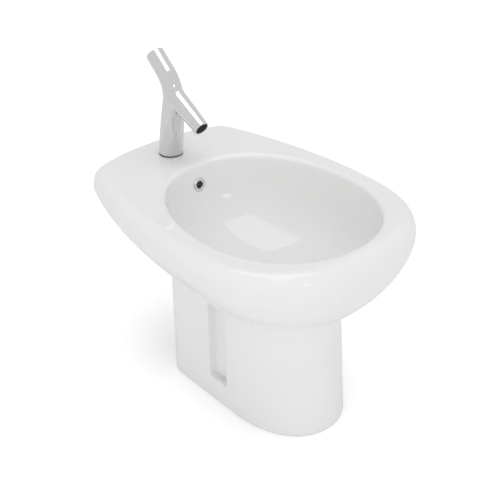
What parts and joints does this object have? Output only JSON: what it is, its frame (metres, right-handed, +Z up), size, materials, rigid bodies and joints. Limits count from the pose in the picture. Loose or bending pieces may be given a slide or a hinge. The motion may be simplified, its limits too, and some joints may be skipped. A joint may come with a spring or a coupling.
{
  "type": "floor standing bidet",
  "caption": "Floor standing bidet of white glazed china with a hollow foot, side niches, overflow, branch-shaped chrome mixer tap, push-open waste and bottle trap.",
  "frame": {"origin": "on the floor, under the middle of the rim", "axes": "+Z up; the user's end of the bowl is at -Y and the wall side at +Y; +X to the right of someone facing +Y"},
  "size_m": [0.422, 0.57, 0.5754],
  "materials": {
    "china": "gloss white glaze",
    "chrome": "polished chrome plate on brass",
    "brass": "turned, bare",
    "rubber": "matt black",
    "white_plastic": "moulded, white",
    "grey_plastic": "moulded, grey",
    "steel": "zinc plated"
  },
  "bodies": {
    "fixed": {"pan_bowl": "china", "pan_shell": "china", "overflow_ring": "chrome", "fixing_bushes": "white_plastic", "tap_body": "chrome", "tap_base_ring": "rubber", "temp_cartridge": "white_plastic", "cartridge_nut": "brass", "flow_tube": "brass", "flow_orings": "rubber", "tap_stud": "steel", "stud_washer": "rubber", "stud_plate": "steel", "stud_nut": "brass", "waste_body": "chrome", "waste_seal": "rubber", "waste_gasket": "rubber", "waste_nut": "brass", "plug_guide": "grey_plastic", "trap_union_nut": "chrome", "trap_union_seal": "rubber", "trap_body": "chrome", "trap_cup": "chrome", "cup_seal": "rubber", "outlet_nut": "chrome", "outlet_seal": "rubber", "outlet_pipe": "chrome"},
    "temp_control": {"temp_handle": "chrome", "handle_screw": "steel", "temp_spindle": "brass"},
    "flow_control": {"flow_collar": "chrome", "outlet_insert": "grey_plastic"},
    "plug": {"waste_plug": "chrome", "plug_oring": "rubber"}
  },
  "joints": [
    {"name": "temp_turn", "type": "hinge", "parent": "fixed", "child": "temp_control", "pos_m": [0, 0.21644, 0.5367], "axis": [0, 0.7547, 0.6561], "range_deg": [-45, 45]},
    {"name": "flow_turn", "type": "hinge", "parent": "fixed", "child": "flow_control", "pos_m": [0, 0.11782, 0.46052], "axis": [0, -0.887, -0.4618], "range_deg": [0, 90]},
    {"name": "plug_slide", "type": "slide", "parent": "fixed", "child": "plug", "axis": [0, 0, 1], "range_m": [0, 0.009]}
  ]
}
